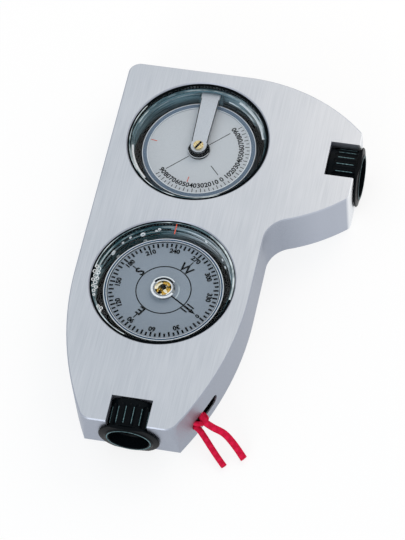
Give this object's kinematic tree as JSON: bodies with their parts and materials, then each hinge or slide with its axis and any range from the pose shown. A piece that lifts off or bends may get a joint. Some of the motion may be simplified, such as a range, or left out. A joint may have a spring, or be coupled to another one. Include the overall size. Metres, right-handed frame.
{
  "type": "compass clinometer",
  "caption": "Pocket sighting compass and clinometer in one flat brushed alloy body, with liquid capsules, turning dials, focusing eyepieces and a red lanyard.",
  "frame": {"origin": "point of the back face on the compass card's axis", "axes": "+X towards the clinometer eyepiece, +Y from the compass eyepiece towards the clinometer end, +Z out of the dial face; the part lies on its back face at z = 0"},
  "size_m": [0.0714, 0.1182, 0.0154],
  "materials": {
    "body_alloy": "brushed, clear anodised",
    "capsule_clear": "clear moulded",
    "lid_clear": "clear moulded",
    "seal_black": "matt",
    "bearing_brass": "turned",
    "pivot_steel": "ground",
    "card_print": "satin print",
    "rim_alloy": "turned",
    "hub_brass": "turned, polished",
    "cap_clear": "clear moulded",
    "jewel": "polished",
    "magnet": "plain",
    "bracket_metal": "satin",
    "dial_print": "satin print",
    "wheel_rim": "satin",
    "black_trim": "satin",
    "lens_glass": "polished",
    "eyepiece_black": "satin moulded",
    "cord_red": "braided"
  },
  "bodies": {
    "body": {"housing": "body_alloy", "compass_capsule": "capsule_clear", "compass_lid": "lid_clear", "compass_gasket": "seal_black", "compass_pivot_seat": "bearing_brass", "compass_pivot": "pivot_steel", "clino_capsule": "capsule_clear", "clino_lid": "lid_clear", "clino_gasket": "seal_black", "clino_bracket": "bracket_metal", "clino_bracket_pin": "pivot_steel", "clino_bearing_screw": "hub_brass", "clino_lower_bearing": "bearing_brass", "compass_sight_window": "lens_glass", "clino_sight_window": "lens_glass", "lanyard_pin": "pivot_steel", "lanyard": "cord_red"},
    "card": {"compass_card": "card_print", "compass_scale_ring": "rim_alloy", "compass_hub": "hub_brass", "compass_hub_cap": "cap_clear", "compass_jewel": "jewel", "compass_magnet_left": "magnet", "compass_magnet_right": "magnet"},
    "wheel": {"clino_dial": "dial_print", "clino_scale_ring": "wheel_rim", "clino_hub_ring": "black_trim", "clino_weight": "magnet", "clino_shaft": "pivot_steel"},
    "compass_focus": {"compass_eyepiece": "eyepiece_black", "compass_eye_lens": "lens_glass", "compass_lens_ring": "black_trim", "compass_o_ring": "seal_black"},
    "clino_focus": {"clino_eyepiece": "eyepiece_black", "clino_eye_lens": "lens_glass", "clino_lens_ring": "black_trim", "clino_o_ring": "seal_black"}
  },
  "joints": [
    {"name": "card_turn", "type": "hinge", "parent": "body", "child": "card", "pos_m": [0, 0, 0.0107], "axis": [0, 0, 1], "continuous": true},
    {"name": "wheel_turn", "type": "hinge", "parent": "body", "child": "wheel", "pos_m": [0, 0.0475, 0.0103], "axis": [0, 0, 1], "continuous": true},
    {"name": "compass_focus_turn", "type": "hinge", "parent": "body", "child": "compass_focus", "pos_m": [0, -0.04458, 0.0071], "axis": [0, -0.9914, -0.1305], "range_deg": [-150, 150]},
    {"name": "clino_focus_turn", "type": "hinge", "parent": "body", "child": "clino_focus", "pos_m": [0.0454, 0.0475, 0.0076], "axis": [1, 0, 0], "range_deg": [-150, 150]}
  ]
}
